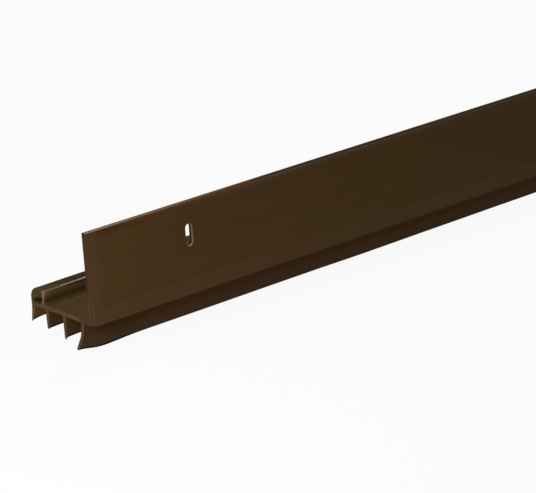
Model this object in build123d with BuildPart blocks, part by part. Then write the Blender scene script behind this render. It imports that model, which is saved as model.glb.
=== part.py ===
from build123d import *
from math import cos, radians, sin, tan
import os

# Door drip cap: an L-shaped vinyl extrusion that is screwed to the outside face of a door.
# The web runs under the door and carries a hollow bulb, three blades and a drip lip.
# Millimetres. +X runs along the door's width, +Y goes into the room, +Z is up.
# The origin is on the flange's back face, at the middle of the row of screw slots.

# The length that is sold, and the thickness of the door that it fits
length = 914.4
door_thickness = 44.45

# Rigid angle: the flange stands on the door's face and the web lies under the door
flange_thickness = 2.3
flange_height = 44.45
flange_edge_radius = 0.45
heel_radius = 0.4
web_thickness = 2.4
web_camber = 0.6
inside_corner_radius = 1.2

# Screw slots, upright so that the strip can be set to the gap under the door
slot_width = 4.76
slot_height = 11.11
slot_rim_radius = 0.2
slot_drop = 16.05
slot_count = 4
slot_end_distance = 58.5

# Hollow bulb on the web's back edge: round back, rising roof, front wall that leans out
bulb_wall = 1.2
bulb_back_radius = 6.9
bulb_centre_height = 1.2
bulb_roof_slope = 14
bulb_roof_length = 4.15
bulb_nose_radius = 2.0
bulb_front_lean = 22

# Sealing blades under the web, from the back one to the one nearest the drip lip.
# The setback is from the web's back edge to the blade's back face, the length is below
# the web's underside, and the lean is towards the back.
blade_setbacks = (0.0, 10.55, 23.9)
blade_lengths = (6.4, 8.0, 9.5)
blade_leans = (5.8, -2.7, 0.0)
blade_root_thickness = 2.1
blade_tip_thickness = 1.4
blade_root_radius = 0.6
blade_tip_radius = 0.5

# Drip lip, a longer blade set back from the flange's face: straight below the web,
# then bent back and tapered towards its tip
lip_setback = 7.1
lip_thickness = 1.75
lip_lean = 9.5
lip_straight_length = 6.0
lip_bend_length = 2.6
lip_end_length = 6.6
lip_tip_thickness = 1.25
lip_root_radius = 0.6

# Loose end of the lip: distances of its sections from the cut, and the bend of each one
lip_stations = (0.0, 18.0, 34.0, 50.0)
lip_bends = (22.5, 6.5, 12.0, 12.0)

# Levels and places that follow from the sizes above
flange_front = -flange_thickness
flange_top = slot_drop
web_under = flange_top - flange_height
web_top = web_under + web_thickness
web_back = door_thickness
web_middle = web_back / 2
root_level = web_under + web_camber
near_end = -length / 2
slot_spacing = (length - 2 * slot_end_distance) / (slot_count - 1)
lip_direction = radians(lip_lean - 90)
lip_across = Vector(-sin(lip_direction), cos(lip_direction)) * lip_thickness
lip_front_root = Vector(flange_front + lip_setback, root_level)
lip_front_knee = lip_front_root + Vector(cos(lip_direction), sin(lip_direction)) * lip_straight_length
lip_back_knee = lip_front_knee + lip_across


def profile_plane(distance):
    """Plane of the cross-section at a distance along the strip from its near end."""
    return Plane.YZ.offset(near_end + distance)


def under_web(y):
    """Point on the bowed underside of the web, a distance y behind the door's face."""
    share = y / web_middle - 1
    return Vector(y, web_under + web_camber * (1 - share * share))


def fillet_near(sketch, points, radius):
    """Round the corners of a sketch that lie nearest to the points."""
    corners = [sketch.vertices().sort_by_distance((p.X, p.Y, 0))[0] for p in points]
    fillet(corners, radius)


def lip_outline(bend):
    """Closed outline of the lip's lower part, which turns back by the bend, in degrees."""
    with BuildLine() as outline:
        knee_direction = (lip_front_knee - lip_front_root).normalized()
        bend_radius = lip_bend_length / radians(bend)
        front_bend = JernArc(lip_front_knee, knee_direction, bend_radius + lip_thickness / 2, bend)
        back_bend = JernArc(lip_back_knee, knee_direction, bend_radius - lip_thickness / 2, bend)
        end_direction = front_bend % 1
        across = Vector(-end_direction.Y, end_direction.X)
        tip_middle = (front_bend @ 1 + back_bend @ 1) / 2 + end_direction * lip_end_length
        front_tip = tip_middle - across * lip_tip_thickness / 2
        back_tip = tip_middle + across * lip_tip_thickness / 2
        Polyline(front_bend @ 1, front_tip, back_tip, back_bend @ 1)
        Line(lip_front_knee, lip_back_knee)
    make_face(outline.line)


with BuildPart() as door_bottom:
    # Bulb first, so that the web's bowed top closes the bottom of its hollow
    with BuildSketch(profile_plane(0)) as bulb_profile:
        with BuildLine() as bulb_outline:
            bulb_back = CenterArc(
                (web_back - bulb_back_radius, web_top + bulb_centre_height),
                bulb_back_radius,
                0,
                90 - bulb_roof_slope,
            )
            bulb_roof = PolarLine(bulb_back @ 1, bulb_roof_length, direction=bulb_back % 1)
            bulb_nose = JernArc(
                bulb_roof @ 1,
                bulb_roof % 1,
                bulb_nose_radius,
                90 + bulb_roof_slope + bulb_front_lean,
            )
            bulb_floor = web_top - bulb_wall
            bulb_drop = (bulb_nose @ 1).Y - bulb_floor
            bulb_front = PolarLine(
                bulb_nose @ 1,
                bulb_drop / cos(radians(bulb_front_lean)),
                direction=bulb_nose % 1,
            )
            Polyline(bulb_back @ 0, (web_back, bulb_floor), bulb_front @ 1)
        make_face()
        offset(amount=-bulb_wall, mode=Mode.SUBTRACT)
    extrude(amount=length)

    # Rigid angle, blades and the straight part of the lip, which run the whole length
    with BuildSketch(profile_plane(0)) as profile:
        with BuildLine() as angle_outline:
            Polyline(
                (0, web_top),
                (0, flange_top),
                (flange_front, flange_top),
                (flange_front, web_under),
                (0, web_under),
            )
            ThreePointArc((0, web_under), (web_middle, root_level), (web_back, web_under))
            Line((web_back, web_under), (web_back, web_top))
            ThreePointArc(
                (web_back, web_top),
                (web_middle, web_top + web_camber),
                (0, web_top),
            )
        make_face()
        root_corners = []
        tip_corners = []
        for setback, reach, lean in zip(blade_setbacks, blade_lengths, blade_leans):
            back_root = Vector(web_back - setback, root_level)
            front_root = back_root - Vector(blade_root_thickness, 0)
            back_tip = back_root + Vector((reach + web_camber) * tan(radians(lean)), -reach - web_camber)
            front_tip = back_tip - Vector(blade_tip_thickness, 0)
            with BuildLine() as blade_outline:
                Polyline(back_root, back_tip, front_tip, front_root, close=True)
            make_face()
            tip_corners += [back_tip, front_tip]
            root_corners += [under_web(front_root.X)]
            if setback > 0:
                root_corners += [under_web(back_root.X)]
        with BuildLine() as lip_root_outline:
            Polyline(
                lip_front_root,
                lip_front_knee,
                lip_back_knee,
                lip_front_root + lip_across,
                close=True,
            )
        make_face()
        fillet_near(profile, tip_corners, blade_tip_radius)
        fillet_near(profile, root_corners, blade_root_radius)
        lip_back_root = lip_front_root + lip_across
        lip_corners = [under_web(lip_front_root.X), under_web(lip_back_root.X)]
        fillet_near(profile, lip_corners, lip_root_radius)
        fillet_near(profile, [Vector(flange_front, web_under)], heel_radius)
        fillet_near(profile, [Vector(0, web_top)], inside_corner_radius)
        flange_corners = [Vector(0, flange_top), Vector(flange_front, flange_top)]
        fillet_near(profile, flange_corners, flange_edge_radius)
    extrude(amount=length)

    # Bent part of the lip: a loft over its loose end, then a plain run to the far end
    for station, bend in zip(lip_stations, lip_bends):
        with BuildSketch(profile_plane(station)) as lip_section:
            lip_outline(bend)
    loft()
    with BuildSketch(profile_plane(lip_stations[-1])) as lip_run:
        lip_outline(lip_bends[-1])
    extrude(amount=length - lip_stations[-1])

    # Screw slots through the flange, with their front rims rounded
    slot_plane = Plane.XZ.offset(flange_thickness)
    with BuildSketch(slot_plane) as slots:
        with GridLocations(slot_spacing, slot_spacing, slot_count, 1):
            SlotOverall(slot_height, slot_width, rotation=90)
    extrude(amount=-flange_thickness, mode=Mode.SUBTRACT)
    rims = door_bottom.edges(Select.LAST).filter_by_position(Axis.Y, flange_front, flange_front)
    fillet(rims, slot_rim_radius)
door_bottom.part.label = "door_bottom"

os.makedirs("parts", exist_ok=True)
export_step(door_bottom.part, "parts/door_bottom.step")
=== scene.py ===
from math import cos, exp, pi, radians, sin

import bpy
from mathutils import Matrix, Vector


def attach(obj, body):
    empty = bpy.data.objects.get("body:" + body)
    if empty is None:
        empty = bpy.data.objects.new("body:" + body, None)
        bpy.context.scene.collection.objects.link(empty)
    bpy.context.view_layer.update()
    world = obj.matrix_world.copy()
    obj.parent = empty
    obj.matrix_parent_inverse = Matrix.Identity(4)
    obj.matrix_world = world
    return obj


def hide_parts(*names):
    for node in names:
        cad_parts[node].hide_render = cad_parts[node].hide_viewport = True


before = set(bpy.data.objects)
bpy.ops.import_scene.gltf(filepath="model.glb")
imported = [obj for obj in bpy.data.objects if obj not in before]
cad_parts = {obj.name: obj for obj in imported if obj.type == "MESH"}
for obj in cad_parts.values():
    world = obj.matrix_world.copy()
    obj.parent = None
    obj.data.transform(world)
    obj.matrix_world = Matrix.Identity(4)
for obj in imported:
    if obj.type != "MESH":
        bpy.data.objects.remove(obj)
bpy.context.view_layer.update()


# The view
# A long lens from the left of the cut end, a little above the strip, turned about its own
# axis by four degrees. It looks along the flange, with the far end out of the picture.

camera_place = (-1.21292, -1.06871, 0.4435)
looks_along = Vector((0.59487, 0.73775, -0.31917)).normalized()
image_right = Vector((0.76170, -0.64421, -0.06940))
image_right = (image_right - image_right.dot(looks_along) * looks_along).normalized()
image_up = image_right.cross(looks_along)
camera_turn = Matrix((image_right, image_up, -looks_along)).transposed()

lens = bpy.data.cameras.new("long_lens")
lens.lens = 207.25
lens.sensor_width = 36.0
lens.clip_end = 20.0
camera = bpy.data.objects.new("camera", lens)
bpy.context.scene.collection.objects.link(camera)
camera.matrix_world = Matrix.Translation(camera_place) @ camera_turn.to_4x4()
bpy.context.scene.camera = camera


# The strip
# One vinyl extrusion, rigid in the flange and web and soft in the bulb, blades and lip. The
# die gives it a single section, drawn here once and then drawn out along the door.

strip_length = 914.4
door_thickness = 44.45
underside = -28.4

flange_thickness = 2.3
flange_height = 44.75
flange_taper_start = 42.5
flange_taper = 0.15
heel = (0.0, 0.0)
heel_radius = 0.35
heel_end = 3.6
top_front_edge = (flange_taper, flange_height)
top_front_radius = 1.0
top_back_edge = (flange_thickness, flange_height)
top_back_radius = 0.2

web_thickness = 2.4
web_bow = 0.6
web_back = flange_thickness + door_thickness
inside_corner_radius = 0.9

bulb_wall = 1.2
bulb_back = (39.85, 4.5)
bulb_back_radius = 6.9
bulb_back_height = 2.0
bulb_nose = (36.96, 9.76)
bulb_nose_radius = 2.0
bulb_foot = 37.6
bulb_foot_radius = 2.4
bulb_hollow_radius = 0.5
roof_angle = 83
front_angle = 202
bead = (35.22, 9.85)
bead_radius = 0.45

# Each blade's back face at its root and at its tip, its front face at its tip and at its
# root, and its length below the web
blades = (
    (web_back, 47.48, 46.08, 44.65, 6.05),
    (36.20, 35.80, 34.40, 34.10, 8.05),
    (22.85, 22.85, 21.45, 20.75, 9.5),
)
blade_root_level = 0.4
blade_root_radius = 0.5
blade_tip_radius = 0.55
blade_tip_band = 0.95
blade_clearance = 5.0


def bow(y):
    """Rise of the web, a distance y behind the flange's face, where it left the die arched."""
    share = max(0.0, y - flange_thickness) / (door_thickness / 2) - 1
    return web_bow * (1 - share * share)


def web_top(y):
    """Height of the web's top, a distance y behind the flange's face."""
    return web_thickness + bow(y)


# The drip lip's back face from its root down, and its front face from its tip up
lip_back = ((8.92, bow(8.9)), (9.82, -5.03), (9.98, -6.02), (10.25, -7.20), (12.62, -13.62))
lip_front = (
    (11.42, -13.95),
    (10.91, -12.81),
    (8.75, -7.95),
    (8.40, -6.90),
    (8.09, -5.32),
    (7.17, bow(7.2)),
)
lip_root_radius = 0.5
lip_tip_radius = 0.45


def arc(centre, radius, start, end, steps):
    """Points on a rounding of the section, between two angles in degrees."""
    turns = [radians(start + (end - start) * i / steps) for i in range(steps + 1)]
    return [(centre[0] + radius * cos(t), centre[1] + radius * sin(t)) for t in turns]


def place(x, y, z):
    """A point of the strip, from millimetres: x from the cut end, y back from the flange's
    front face and z up from the web's underside."""
    along = (x - strip_length / 2) / 1000
    return Vector((along, (y - flange_thickness) / 1000, (z + underside) / 1000))


def deselect():
    """Leaves nothing selected, in object mode."""
    if bpy.context.object and bpy.context.object.mode != "OBJECT":
        bpy.ops.object.mode_set(mode="OBJECT")
    bpy.ops.object.select_all(action="DESELECT")


def select_points(outline, numbers):
    """Goes into edit mode with only the points of the outline with these numbers selected."""
    bpy.context.view_layer.objects.active = outline
    bpy.ops.object.mode_set(mode="EDIT")
    bpy.ops.mesh.select_all(action="DESELECT")
    bpy.ops.object.mode_set(mode="OBJECT")
    for i in numbers:
        outline.data.vertices[i].select = True
    bpy.ops.object.mode_set(mode="EDIT")


def draw_outline(name, points):
    """Traces a closed line through the points, from one vertex that is extruded on and on."""
    deselect()
    bpy.ops.mesh.primitive_plane_add(size=0.001, location=place(0, *points[0]))
    outline = bpy.context.object
    outline.name = name
    bpy.ops.object.transform_apply(location=True, rotation=True, scale=True)
    bpy.ops.object.mode_set(mode="EDIT")
    bpy.ops.mesh.select_all(action="SELECT")
    bpy.ops.mesh.merge(type="CENTER")
    for last, this in zip(points, points[1:]):
        step = place(0, *this) - place(0, *last)
        bpy.ops.mesh.extrude_region_move(TRANSFORM_OT_translate={"value": step})
    bpy.ops.object.mode_set(mode="OBJECT")
    select_points(outline, (0, -1))
    bpy.ops.mesh.edge_face_add()
    bpy.ops.object.mode_set(mode="OBJECT")
    return outline


def round_corners(outline, corners, radius, steps):
    """Rounds the corners of an outline that lie nearest to the given points."""
    nearest = []
    for corner in corners:
        at = place(0, *corner)
        nearest.append(min(outline.data.vertices, key=lambda v: (v.co - at).length).index)
    select_points(outline, nearest)
    bpy.ops.mesh.bevel(offset=radius / 1000, segments=steps, affect="VERTICES")
    bpy.ops.object.mode_set(mode="OBJECT")


# The section, from the heel up the flange, back over the web and the bulb, and forward
# again round the blades and the lip
outside = [heel, (0.0, flange_taper_start), top_front_edge, top_back_edge]
for y in (flange_thickness, 8.0, 14.0, 20.0, 26.0, 32.0, bulb_foot):
    outside.append((y, web_top(y)))
outside += arc(bulb_nose, bulb_nose_radius, front_angle, 192, 2)
outside += arc(bead, bead_radius, 205, 95, 8)
outside += arc(bulb_nose, bulb_nose_radius, 150, roof_angle, 9)
outside += arc(bulb_back, bulb_back_radius, roof_angle, 0, 12)
outside.append((web_back, bulb_back_height))
blade_roots = []
blade_tips = []
for back_root, back_tip, front_tip, front_root, reach in blades:
    outside.append((back_root, bow(back_root)))
    outside += [(back_tip, -reach), (front_tip, -reach)]
    widening = blade_tip_band * (front_root - front_tip) / (reach + blade_root_level)
    outside.append((front_tip + widening, blade_tip_band - reach))
    outside.append((front_root, bow(front_root)))
    outside.append((front_root - blade_clearance, bow(front_root - blade_clearance)))
    blade_roots.append((front_root, bow(front_root)))
    if back_root < web_back:
        blade_roots.append((back_root, bow(back_root)))
    blade_tips += [(back_tip, -reach), (front_tip, -reach)]
outside += lip_back + lip_front
outside.append((heel_end, bow(heel_end)))

strip = draw_outline("drip_cap", outside)
round_corners(strip, blade_roots, blade_root_radius, 4)
round_corners(strip, blade_tips, blade_tip_radius, 4)
round_corners(strip, [lip_back[0], lip_front[-1]], lip_root_radius, 4)
round_corners(strip, [lip_back[-1], lip_front[0]], lip_tip_radius, 4)
round_corners(strip, [(flange_thickness, web_thickness)], inside_corner_radius, 5)
round_corners(strip, [(bulb_foot, web_top(bulb_foot))], bulb_foot_radius, 8)
round_corners(strip, [top_front_edge], top_front_radius, 6)
round_corners(strip, [top_back_edge], top_back_radius, 3)
round_corners(strip, [heel], heel_radius, 3)

bulb_floor = [(y, web_top(y)) for y in (web_back - bulb_wall, 43.0, 41.0, 38.9)]
inside = bulb_floor + arc(bulb_nose, bulb_nose_radius - bulb_wall, front_angle, roof_angle, 8)
inside += arc(bulb_back, bulb_back_radius - bulb_wall, roof_angle, 0, 10)
hollow = draw_outline("bulb_hollow", inside)
round_corners(hollow, [bulb_floor[0], bulb_floor[-1]], bulb_hollow_radius, 3)
lining = hollow.vertex_groups.new(name="hollow")
lining.add([v.index for v in hollow.data.vertices], 1.0, "REPLACE")

deselect()
strip.select_set(True)
hollow.select_set(True)
bpy.context.view_layer.objects.active = strip
bpy.ops.object.join()
bpy.ops.object.mode_set(mode="EDIT")
bpy.ops.mesh.select_all(action="SELECT")
bpy.ops.mesh.fill()

# Distances from the cut at which the strip has points, closest together at its loose end
stations = (
    0, 0.3, 0.7, 1.4, 2.4, 3.8, 5.5, 7.5, 10, 13, 16, 19, 22.5, 26, 30, 35, 41, 50, 70,
    95, 120, 145, 160, 175, 190, 210, 235, 260, 295, strip_length,
)
for last, this in zip(stations, stations[1:]):
    drawn_out = Vector(((this - last) / 1000, 0, 0))
    bpy.ops.mesh.extrude_region_move(TRANSFORM_OT_translate={"value": drawn_out})
bpy.ops.mesh.select_all(action="SELECT")
bpy.ops.mesh.normals_make_consistent(inside=False)
bpy.ops.object.mode_set(mode="OBJECT")


# The cut end
# The saw bent, pressed and burred the strip's end, and the soft lip waves a little along it.
# The functions here that take a point, in millimetres, give its new y and z.

sculpted_length = 300
lip_knee = Vector((8.95, -5.2))
loose_depth = 4.9
behind_lip = 16
blade_top = -1.0
smeared_length = 0.6
smear_middle = (41.0, 2.7)
crown_foot = 4.0
crown_height = 7.4


def ease(share):
    """Smooth change from 0 to 1."""
    share = min(1.0, max(0.0, share))
    return share * share * (3 - 2 * share)


def swell(x, middle, reach, power=2):
    """1 at the middle, and falling away smoothly on both sides of it."""
    return exp(-(((x - middle) / reach) ** power))


def lip_swing(x):
    """Degrees that the lip's loose end is turned back, a distance x from the cut."""
    return 10.5 * swell(x, 0, 8.5) - 6.5 * swell(x, 18.0, 9.0)


def lip_drop(x):
    """Millimetres that the lip hangs lower, a distance x from the cut."""
    near = 0.30 * swell(x, 0, 12.0) + 0.42 * swell(x, 10.0, 5.5)
    wave = 0.12 * swell(x, 80.0, 50.0) + 0.24 * swell(x, 172.0, 24.0)
    wave -= 0.17 * swell(x, 20.0, 8.0)
    return 0.32 * swell(x, 0, 110.0) + near + wave - 0.34 * ease((x - 210.0) / 85.0)


def bend_lip(x, y, z):
    """Swings the lip's loose end about its knee, and lets it hang."""
    turn = Matrix.Rotation(radians(lip_swing(x) * ease((-z - loose_depth) / 3.0)), 2)
    z -= lip_drop(x) * ease((-z - loose_depth) / 8.0)
    return lip_knee + turn @ (Vector((y, z)) - lip_knee)


def draw_burr(x, y, z):
    """Draws the blades' ends down to burrs, longest at the back blade's back face and in
    the middle of the front blade, and leans the back blade's end back."""
    burr = 0.35
    if y > 46.8:
        burr = 1.2
    elif 20.0 < y < 22.3:
        burr = 0.95
    burr = burr * swell(x, 0, 0.45) + 0.3 * swell(x, 0, 6.0)
    if y > 44.0:
        burr += 0.85 * swell(x, 0, 2.6)
        y += 0.4 * swell(x, 0, 2.5) * ease((-z - 0.5) / 4.0)
    return y, z - burr * ease((-z - 2.0) / 6.0)


def smear_hollow(x, y, z):
    """Smears the soft vinyl across the upper half of the bulb's hollow."""
    share = swell(x, 0, 0.35)
    y += share * 0.32 * (smear_middle[0] - y)
    return y, z + share * 0.62 * (smear_middle[1] - z)


def blunt_heel(x, y, z):
    """Blunts the flange's lower corner."""
    return y, z + 0.6 * ease((2.0 - y) / 1.6) * ease((1.2 - z) / 1.2) * swell(x, 0, 1.6)


def press_crown(x, y, z):
    """Presses the bulb's crown down, its front most of all."""
    height = (z - crown_foot) / crown_height
    forward = ease((44.0 - y) / 6.0)
    ridge = 1 - 0.35 * ease(36.5 - y)
    z -= 0.8 * height * forward * ridge * swell(x, 0, 16.0)
    near = 0.15 * swell(x, 0, 16.0) * ease((47.0 - y) / 4.0)
    return y, z - (0.93 * swell(x, 0, 62.0, power=4) + near) * height * ease(y - 35.4)


for v in strip.data.vertices:
    x = v.co.x * 1000 + strip_length / 2
    y = v.co.y * 1000 + flange_thickness
    z = v.co.z * 1000 - underside
    if x > sculpted_length:
        continue
    if z < -loose_depth and y < behind_lip:
        y, z = bend_lip(x, y, z)
    elif z < blade_top:
        y, z = draw_burr(x, y, z)
    elif v.groups and x < smeared_length:
        y, z = smear_hollow(x, y, z)
    elif x < 4.0 and y < 2.0 and z < 1.2:
        y, z = blunt_heel(x, y, z)
    elif y > 30 and z > crown_foot:
        y, z = press_crown(x, y, z)
    v.co = place(x, y, z)


# The screw slots
# Four upright slots, punched through the flange from its front, which draws their front
# rims in and leaves them rounded.

slot_count = 4
slot_spacing = 265.8
first_slot = 58.5
slot_middle = 28.7
slot_half_width = 1.75
slot_half_height = 5.1
rim_radius = 0.55
punch_depth = 3.6
punch_head = 1.0
punch_sides = 44

deselect()
bpy.ops.mesh.primitive_circle_add(
    vertices=punch_sides,
    radius=slot_half_width / 1000,
    location=place(first_slot, punch_depth, slot_middle),
    rotation=(pi / 2, pi / punch_sides, 0),
    fill_type="NGON",
)
punch = bpy.context.object
punch.name = "slot_punch"
bpy.ops.object.transform_apply(location=True, rotation=True, scale=True)
for side in (1, -1):
    for v in punch.data.vertices:
        v.select = v.co.z * side > 0
    for part in list(punch.data.edges) + list(punch.data.polygons):
        part.select = False
    bpy.ops.object.mode_set(mode="EDIT")
    shift = side * (slot_half_height - slot_half_width) / 1000
    bpy.ops.transform.translate(value=(0, 0, shift))
    bpy.ops.object.mode_set(mode="OBJECT")
bpy.ops.object.mode_set(mode="EDIT")
bpy.ops.mesh.select_all(action="SELECT")
depth = punch_depth
flare = 0.0
for turn in range(0, 91, 15):
    next_depth = rim_radius * (1 - sin(radians(turn)))
    next_flare = rim_radius * (1 - cos(radians(turn)))
    forward = (0, (next_depth - depth) / 1000, 0)
    wider = (slot_half_width + next_flare) / (slot_half_width + flare)
    taller = (slot_half_height + next_flare) / (slot_half_height + flare)
    middle = place(first_slot, next_depth, slot_middle)
    bpy.ops.mesh.extrude_region_move(TRANSFORM_OT_translate={"value": forward})
    bpy.ops.transform.resize(value=(wider, 1, taller), center_override=middle)
    depth = next_depth
    flare = next_flare
past_face = (0, -punch_head / 1000, 0)
bpy.ops.mesh.extrude_region_move(TRANSFORM_OT_translate={"value": past_face})
bpy.ops.mesh.select_all(action="SELECT")
bpy.ops.mesh.normals_make_consistent(inside=False)
bpy.ops.object.mode_set(mode="OBJECT")

punches = [punch]
for i in range(1, slot_count):
    deselect()
    punch.select_set(True)
    bpy.context.view_layer.objects.active = punch
    bpy.ops.object.duplicate()
    copy = bpy.context.object
    copy.data.transform(Matrix.Translation((i * slot_spacing / 1000, 0, 0)))
    punches.append(copy)
deselect()
for tool in punches:
    tool.select_set(True)
bpy.context.view_layer.objects.active = punch
bpy.ops.object.join()

deselect()
strip.select_set(True)
bpy.context.view_layer.objects.active = strip
cut = strip.modifiers.new("slots", "BOOLEAN")
cut.operation = "DIFFERENCE"
cut.solver = "EXACT"
cut.object = punch
bpy.ops.object.modifier_apply(modifier=cut.name)
bpy.data.objects.remove(punch)


# The sawn arris
# The saw left a fine arris round both ends of the strip, and the punch one round the slots'
# backs. It is a narrow bevel, with the points that lie together joined before and after.

arris_width = 0.1
sharp_angle = 62
smooth_angle = 32


def join_doubles(distance):
    """Joins the strip's points that lie closer together than this, in millimetres."""
    bpy.ops.object.mode_set(mode="EDIT")
    bpy.ops.mesh.select_all(action="SELECT")
    bpy.ops.mesh.remove_doubles(threshold=distance / 1000)
    bpy.ops.object.mode_set(mode="OBJECT")


join_doubles(0.01)
rounding = strip.modifiers.new("sawn_arris", "BEVEL")
rounding.limit_method = "ANGLE"
rounding.angle_limit = radians(sharp_angle)
rounding.width = arris_width / 1000
rounding.segments = 2
rounding.use_clamp_overlap = False
bpy.ops.object.modifier_apply(modifier=rounding.name)
join_doubles(0.012)
bpy.ops.object.shade_smooth_by_angle(angle=radians(smooth_angle))


# The vinyl
# Brown rigid vinyl, with the softer vinyl of the bulb, blades and lip run into it. The die
# leaves fine lines along the strip, and the saw leaves a paler, rough end.

gloss = 0.02


class Value:
    """A number, colour or vector inside a material, so that sums on it read as sums."""

    def __init__(self, tree, socket):
        self.tree = tree
        self.socket = socket

    def node(self, kind, settings, sockets, output=0):
        """Adds a node with its settings, feeds its sockets, and gives one of its outputs."""
        made = self.tree.nodes.new(kind)
        for name, setting in settings.items():
            setattr(made, name, setting)
        for name, value in sockets.items():
            if isinstance(value, Value):
                self.tree.links.new(value.socket, made.inputs[name])
            else:
                made.inputs[name].default_value = value
        return Value(self.tree, made.outputs[output])

    def maths(self, operation, first, second):
        return self.node("ShaderNodeMath", {"operation": operation}, {0: first, 1: second})

    def __add__(self, other):
        return self.maths("ADD", self, other)

    def __radd__(self, other):
        return self.maths("ADD", other, self)

    def __sub__(self, other):
        return self.maths("SUBTRACT", self, other)

    def __rsub__(self, other):
        return self.maths("SUBTRACT", other, self)

    def __mul__(self, other):
        return self.maths("MULTIPLY", self, other)

    def __rmul__(self, other):
        return self.maths("MULTIPLY", other, self)

    def __mod__(self, other):
        return self.maths("FLOORED_MODULO", self, other)

    def over(self, low, high):
        """0 below low, 1 above high, and smooth between them."""
        return self.node(
            "ShaderNodeMapRange",
            {"interpolation_type": "SMOOTHSTEP"},
            {"Value": self, "From Min": low, "From Max": high},
        )

    def under(self, low, high):
        """1 below low, 0 above high, and smooth between them."""
        return 1 - self.over(low, high)

    def within(self, start, low, high, end):
        """1 from low to high, and 0 below start and above end."""
        return self.over(start, low) * self.under(high, end)

    def mix(self, first, second):
        """The first colour where this is 0, and the second where it is 1."""
        sockets = {"Factor": self, 6: first, 7: second}
        return self.node("ShaderNodeMix", {"data_type": "RGBA"}, sockets, output=2)


def noise(ground, scale, detail, roughness=0.5, stretch=(1, 1, 1), turn=(0, 0, 0)):
    """Noise in a place, which may be stretched and turned first."""
    sockets = {"Vector": ground, "Scale": stretch, "Rotation": turn}
    ground = ground.node("ShaderNodeMapping", {}, sockets)
    sockets = {"Vector": ground, "Scale": scale, "Detail": detail, "Roughness": roughness}
    return ground.node("ShaderNodeTexNoise", {}, sockets)


def new_finish(name):
    """A material with its shader, its Object coordinates, and three measures of the place on
    the strip in millimetres, as the section has them: along, back and up."""
    finish = bpy.data.materials.new(name)
    finish.use_nodes = True
    tree = finish.node_tree
    shader = tree.nodes["Principled BSDF"]
    shader.inputs["Specular IOR Level"].default_value = gloss
    ground = Value(tree, tree.nodes.new("ShaderNodeTexCoord").outputs["Object"])
    datum = (strip_length / 2, flange_thickness, -underside)
    sockets = {"Vector": ground, "Scale": (1000, 1000, 1000), "Location": datum}
    measured = ground.node("ShaderNodeMapping", {}, sockets)
    split = measured.node("ShaderNodeSeparateXYZ", {}, {0: measured})
    outputs = split.socket.node.outputs
    return finish, shader, ground, [Value(tree, output) for output in outputs]


def feed(shader, name, value):
    """Links a value to one of the shader's sockets."""
    value.tree.links.new(value.socket, shader.inputs[name])


def die_marks(ground):
    """Fine lines that the die draws along the strip, and a grain for its skin."""
    lines = noise(ground, 1.0, 3.0, roughness=0.6, stretch=(5.0, 620.0, 620.0))
    grain = noise(ground, 2600.0, 2.0)
    return lines, grain


def roughen(shader, relief, strength, height):
    """Feeds a relief to the shader as a bump of the given height in metres."""
    sockets = {"Strength": strength, "Distance": height, "Height": relief}
    feed(shader, "Normal", relief.node("ShaderNodeBump", {}, sockets))


# Rigid vinyl of the flange and the web. The flange is clouded, and has a band under its top
# edge that is warm near the cut and pale further on.
rigid, shader, ground, (along, back, up) = new_finish("rigid_vinyl")
lines, grain = die_marks(ground)
clouds = noise(ground, 1.0, 2.0, stretch=(14.0, 45.0, 45.0))
shade = clouds.over(0.3, 0.7).mix((0.0525, 0.0266, 0.0086, 1), (0.0550, 0.0304, 0.0082, 1))
on_web = back.over(3.5, 4.3) * up.under(4.4, 4.9)
shade = on_web.mix(shade, (0.0585, 0.0342, 0.0129, 1))
# The web beside the bulb is painted lighter: painted light in the shade of that corner
painted_light_beside_bulb = back.over(30.8, 33.1) * on_web
shade = painted_light_beside_bulb.mix(shade, (0.0740, 0.0440, 0.0170, 1))
# The flange's lowest band is painted lighter: painted light
foot = up.under(7.0, 8.4) * back.under(1.3, 2.3)
shade = (foot * 0.75).mix(shade, (0.0625, 0.0335, 0.0125, 1))

near_cut = along.under(27.2, 102.2)
top_band = up.over(40.4, 42.6)
band_shade = near_cut.mix((0.0560, 0.0350, 0.0150, 1), (0.0460, 0.0175, 0.0045, 1))
shade = (top_band * 0.7).mix(shade, band_shade)
# Painted light: the flange is paler and greyer within about ten millimetres of the cut
painted_light_near_cut = along.under(2.7, 10.2)
shade = (painted_light_near_cut * 0.8).mix(shade, (0.0600, 0.0330, 0.0145, 1))
# A painted highlight line just under the top edge, away from the cut
painted_highlight_line = up.within(43.3, 43.6, 44.1, 44.3)
shade = (painted_highlight_line * (1 - near_cut) * 0.5).mix(shade, (0.095, 0.072, 0.050, 1))
warm_band = along.within(17.2, 28.2, 91.2, 105.2) * up.over(42.0, 43.4)
shade = (warm_band * 0.7).mix(shade, (0.0780, 0.0330, 0.0095, 1))
# The top edge carries a painted highlight near the cut and is dark further on; near the cut its coat
# adds real gloss too
top_edge_highlight = up.over(44.15, 44.4)
painted_edge_light = near_cut.mix((0.0200, 0.0130, 0.0080, 1), (0.100, 0.070, 0.046, 1))
shade = (top_edge_highlight * (near_cut * 0.36 + 0.50)).mix(shade, painted_edge_light)
shade = (warm_band * top_edge_highlight * 0.7).mix(shade, (0.0980, 0.0400, 0.0100, 1))
saw_line = along.within(0.35, 0.8, 1.4, 1.9) * up.under(9.4, 18.4) * back.under(0.3, 1.3)
shade = (saw_line * 0.6).mix(shade, (0.0780, 0.0460, 0.0230, 1))

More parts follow.
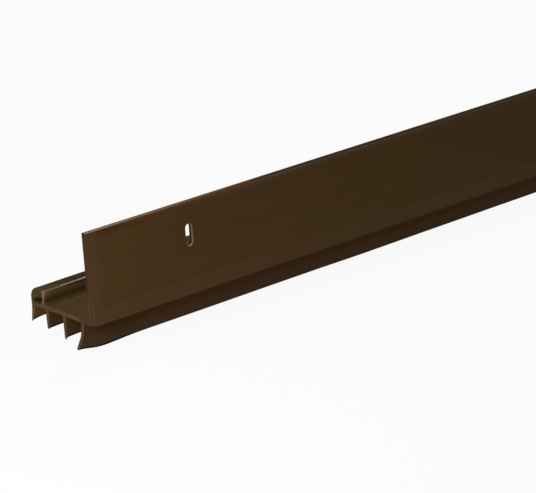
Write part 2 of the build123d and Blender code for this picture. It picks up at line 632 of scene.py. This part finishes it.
# The slots' rims are painted: a painted highlight on the side away from the cut and below, and
# painted shade on the side towards it. Their walls get painted shade, deepest towards the top.
in_slot = up.within(22.0, 22.3, 34.5, 34.8) * along.over(0.4, 1.2)
beside_slot = (along - first_slot + slot_spacing / 2) % slot_spacing - slot_spacing / 2
painted_rim_light_and_shade = beside_slot.over(-1.2, 0.6).mix((0.0160, 0.0080, 0.0030, 1), (0.1250, 0.0920, 0.0600, 1))
painted_rim_light_and_shade = up.over(23.4, 24.4).mix((0.3200, 0.2500, 0.1850, 1), painted_rim_light_and_shade)
shade = (back.within(0.01, 0.06, 0.5, 0.9) * in_slot).mix(shade, painted_rim_light_and_shade)
painted_slot_wall_shade = back.within(0.6, 1.1, 2.0, 2.2) * in_slot * (up.over(24.8, 26.2) * 0.55 + 0.15)
shade = painted_slot_wall_shade.mix(shade, (0.0150, 0.0090, 0.0040, 1))

shade = (lines.over(0.35, 0.75) * 0.12).mix(shade, (0.080, 0.048, 0.020, 1))
feed(shader, "Base Color", shade)
feed(shader, "Roughness", 0.38 + lines * 0.16)
feed(shader, "Coat Weight", top_edge_highlight * near_cut * (0.30 - warm_band * 0.08))
shader.inputs["Coat Roughness"].default_value = 0.3
roughen(shader, lines * 0.7 + grain * 0.3, 0.25, 0.00006)

# Soft vinyl of the lip and the blades, from the front to the back; each blade gets its own
# brightness, the middle one darkest and the back one lightest, as painted light and shade
soft, shader, ground, (along, back, up) = new_finish("soft_vinyl")
lines, grain = die_marks(ground)
from_cut = along.over(17.2, 57.2)
shade = from_cut.mix((0.0435, 0.0212, 0.0058, 1), (0.0545, 0.0240, 0.0072, 1))
lip_end = up.under(-12.6, -6.1) * (0.7 - from_cut * 0.25)
lip_end_shade = from_cut.mix((0.0500, 0.0320, 0.0150, 1), (0.0600, 0.0330, 0.0110, 1))
shade = lip_end.mix(shade, lip_end_shade)
shade = back.over(14.3, 18.3).mix(shade, (0.0560, 0.0310, 0.0115, 1))
shade = back.over(26.3, 31.3).mix(shade, (0.0450, 0.0226, 0.0074, 1))
shade = back.over(38.3, 42.3).mix(shade, (0.0720, 0.0362, 0.0096, 1))

# The bulb's front wall, painted lighter towards its ridge and darker at its foot as painted light
# and shade, with a dark line under its ridge, and its patchy crown
front_wall_painted_light_and_shade = up.over(4.4, 8.4).mix((0.0560, 0.0340, 0.0085, 1), (0.120, 0.075, 0.031, 1))
front_wall_painted_light_and_shade = up.over(3.4, 4.8).mix((0.0420, 0.0240, 0.0062, 1), front_wall_painted_light_and_shade)
behind_web = back.over(32.3, 33.3)
shade = (up.over(2.7, 3.4) * behind_web).mix(shade, front_wall_painted_light_and_shade)
under_ridge = up.within(8.7, 8.9, 9.3, 9.5) * behind_web * along.over(9.2, 17.2)
shade = under_ridge.mix(shade, (0.0200, 0.0100, 0.0030, 1))
patches = noise(ground, 110.0, 1.0).over(0.42, 0.58)
crown_shade = patches.mix((0.0420, 0.0235, 0.0120, 1), (0.0300, 0.0220, 0.0075, 1))
crown_shade = along.over(3.7, 17.2).mix((0.0640, 0.0370, 0.0193, 1), crown_shade)
crown_shade = along.over(37.2, 67.2).mix(crown_shade, (0.0720, 0.0430, 0.0260, 1))
crown = (up + back.over(35.1, 36.8) * 1.8).over(10.1, 10.6)
shade = crown.mix(shade, crown_shade)

# Painted light inside its hollow at the cut, by the square of the distance from its middle
from_middle = (back - 42.0) * (back - 42.0) + (up - 4.9) * (up - 4.9)
painted_light_in_hollow = from_middle.under(18.5, 19.8) * along.under(7.2, 17.2)
shade = painted_light_in_hollow.mix(shade, (0.300, 0.190, 0.085, 1))
shade = (lines.over(0.35, 0.75) * 0.2).mix(shade, (0.0700, 0.0400, 0.0150, 1))
feed(shader, "Base Color", shade)
feed(shader, "Roughness", 0.42 + lines * 0.16)

# The bulb's ridge shines, more so further from the cut
from_ridge = (back - 35.0) * (back - 35.0) + (up - 9.8) * (up - 9.8)
shine = along.over(4.2, 15.2) * 0.29 + along.over(19.2, 25.2) * 0.23
feed(shader, "Coat Weight", from_ridge.under(0.2, 0.7) * shine)
shader.inputs["Coat Roughness"].default_value = 0.15
roughen(shader, lines * 0.7 + grain * 0.3, 0.12, 0.00006)

# Tips of the blades and the lip, dark near the cut
tips, shader, ground, (along, back, up) = new_finish("blade_tips")
lines, grain = die_marks(ground)
shade = along.over(25.2, 37.2).mix((0.0080, 0.0036, 0.0016, 1), (0.0560, 0.0320, 0.0160, 1))
feed(shader, "Base Color", shade)
shader.inputs["Roughness"].default_value = 0.5
roughen(shader, lines * 0.7 + grain * 0.3, 0.25, 0.00006)

# Sawn ends of the strip, with slanting marks of the saw's teeth
sawn, shader, ground, (along, back, up) = new_finish("sawn_end")
teeth = noise(ground, 1.0, 3.0, stretch=(300.0, 260.0, 2600.0), turn=(0.6, 0, 0))
shade = back.over(2.5, 3.5).mix((0.0330, 0.0180, 0.0060, 1), (0.0600, 0.0365, 0.0125, 1))
flange_foot = back.within(0.2, 0.9, 2.5, 3.3) * up.under(9.4, 18.4)
shade = flange_foot.mix(shade, (0.0540, 0.0320, 0.0125, 1))
beside_flange = back.within(2.7, 3.5, 6.8, 10.8)
shade = beside_flange.mix(shade, (0.0450, 0.0260, 0.0090, 1))
below_web = up.under(-0.8, -0.2)
blade_end = back.over(40.3, 42.3).mix((0.0560, 0.0360, 0.0180, 1), (0.0900, 0.0600, 0.0310, 1))
shade = below_web.mix(shade, blade_end)
on_lip = below_web * back.under(16.3, 17.3)
shade = on_lip.mix(shade, (0.0560, 0.0380, 0.0200, 1))
on_bulb = up.over(3.0, 3.4) * back.over(32.3, 32.8)
shade = on_bulb.mix(shade, (0.0335, 0.0285, 0.0088, 1))
# The cut end of the bulb's front wall is painted pale: a painted highlight
bulb_front = on_bulb * back.under(37.6, 38.4)
shade = bulb_front.mix(shade, (0.1250, 0.0980, 0.0500, 1))
tooth_marks = teeth.over(0.40, 0.70) * (back.over(6.8, 10.8) * 0.28 + 0.12)
shade = tooth_marks.mix(shade, (0.120, 0.088, 0.055, 1))
feed(shader, "Base Color", shade)
feed(shader, "Roughness", 0.55 + teeth * 0.2)
roughen(shader, teeth, 0.4, 0.0001)

# The arris round the ends, paler and more chipped on the soft vinyl
arris, shader, ground, (along, back, up) = new_finish("sawn_arris")
chips = noise(ground, 900.0, 2.0).over(0.35, 0.65)
rigid_arris = chips.mix((0.0400, 0.0240, 0.0100, 1), (0.0600, 0.0360, 0.0170, 1))
soft_arris = chips.mix((0.060, 0.042, 0.026, 1), (0.150, 0.115, 0.084, 1))
feed(shader, "Base Color", up.under(-0.8, -0.2).mix(rigid_arris, soft_arris))
shader.inputs["Roughness"].default_value = 0.5

# Which face has which finish, by its place and slope
finishes = [rigid, soft, sawn, arris, tips]
end_depth = 0.15
arris_slope = 0.15
sawn_slope = 0.97
blade_tip_level = -5.45
lip_tip_level = -12.2
tip_face_height = 1.1
soft_root_level = -0.15
soft_bulb_level = 3.1
soft_bulb_front = 32.0
strip.data.materials.clear()
for finish in finishes:
    strip.data.materials.append(finish)
for face in strip.data.polygons:
    from_end = strip_length / 2 - abs(face.center.x) * 1000
    y = face.center.y * 1000 + flange_thickness
    z = face.center.z * 1000 - underside
    levels = [strip.data.vertices[i].co.z * 1000 for i in face.vertices]
    tip_level = blade_tip_level if y > behind_lip else lip_tip_level
    slope = abs(face.normal.x)
    if from_end < end_depth and slope > arris_slope:
        finish = sawn if slope > sawn_slope else arris
    elif z < tip_level and max(levels) - min(levels) < tip_face_height:
        finish = tips
    elif z < soft_root_level or (y > soft_bulb_front and z > soft_bulb_level):
        finish = soft
    else:
        finish = rigid
    face.material_index = finishes.index(finish)

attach(strip, "root")
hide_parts("door_bottom")


# The studio
# A white sweep and soft lamps. The floor lies just under the lip and keeps the strip's
# shadow, and it is shown white to the camera without more light on the strip.

lip_reach = 14.6
floor_level = (underside - lip_reach) / 1000
deselect()
bpy.ops.mesh.primitive_plane_add(size=9.0, location=(0.0, 2.0, floor_level))
floor = bpy.context.object
floor.name = "floor"
bpy.ops.object.transform_apply(location=True, rotation=True, scale=True)

paper = bpy.data.materials.new("floor_paper")
paper.use_nodes = True
tree = paper.node_tree
shader = tree.nodes["Principled BSDF"]
shader.inputs["Base Color"].default_value = (0.65, 0.65, 0.65, 1)
shader.inputs["Roughness"].default_value = 0.95
shader.inputs["Specular IOR Level"].default_value = 0.0
shader.inputs["Emission Color"].default_value = (1.0, 1.0, 1.0, 1)
shader.inputs["Emission Strength"].default_value = 0.35
ray = Value(tree, tree.nodes.new("ShaderNodeLightPath").outputs["Is Camera Ray"])
glow = ray.node("ShaderNodeEmission", {}, {"Color": (0.964, 0.964, 0.964, 1), "Strength": 1.0})
lit = Value(tree, shader.outputs[0])
shown = ray.node("ShaderNodeMixShader", {}, {0: ray * 0.94, 1: lit, 2: glow})
tree.links.new(shown.socket, tree.nodes["Material Output"].inputs["Surface"])
floor.data.materials.append(paper)

world = bpy.data.worlds.new("studio")
bpy.context.scene.world = world
world.use_nodes = True
sky = world.node_tree.nodes["Background"]
sky.inputs["Color"].default_value = (1.0, 1.0, 1.0, 1)
sky.inputs["Strength"].default_value = 0.06


def softbox(name, where, towards, size, watts):
    """A square soft lamp that looks from one point towards another."""
    lamp = bpy.data.lights.new(name, "AREA")
    lamp.shape = "SQUARE"
    lamp.size = size
    lamp.energy = watts
    box = bpy.data.objects.new(name, lamp)
    bpy.context.scene.collection.objects.link(box)
    box.location = where
    look = Vector(towards) - Vector(where)
    box.rotation_euler = look.to_track_quat("-Z", "Y").to_euler()
    box.visible_camera = False


softbox("near_lamp", (-0.727, -0.165, 0.170), (-0.455, 0.0, -0.008), 0.15, 1.40)
softbox("fill_lamp", (-1.517, -0.890, 0.800), (-0.35, 0.0, 0.0), 0.60, 2.8)
softbox("crown_lamp", (0.10, 0.15, 0.85), (-0.40, 0.0, 0.0), 0.25, 6.3)

bpy.context.scene.view_settings.view_transform = "Standard"
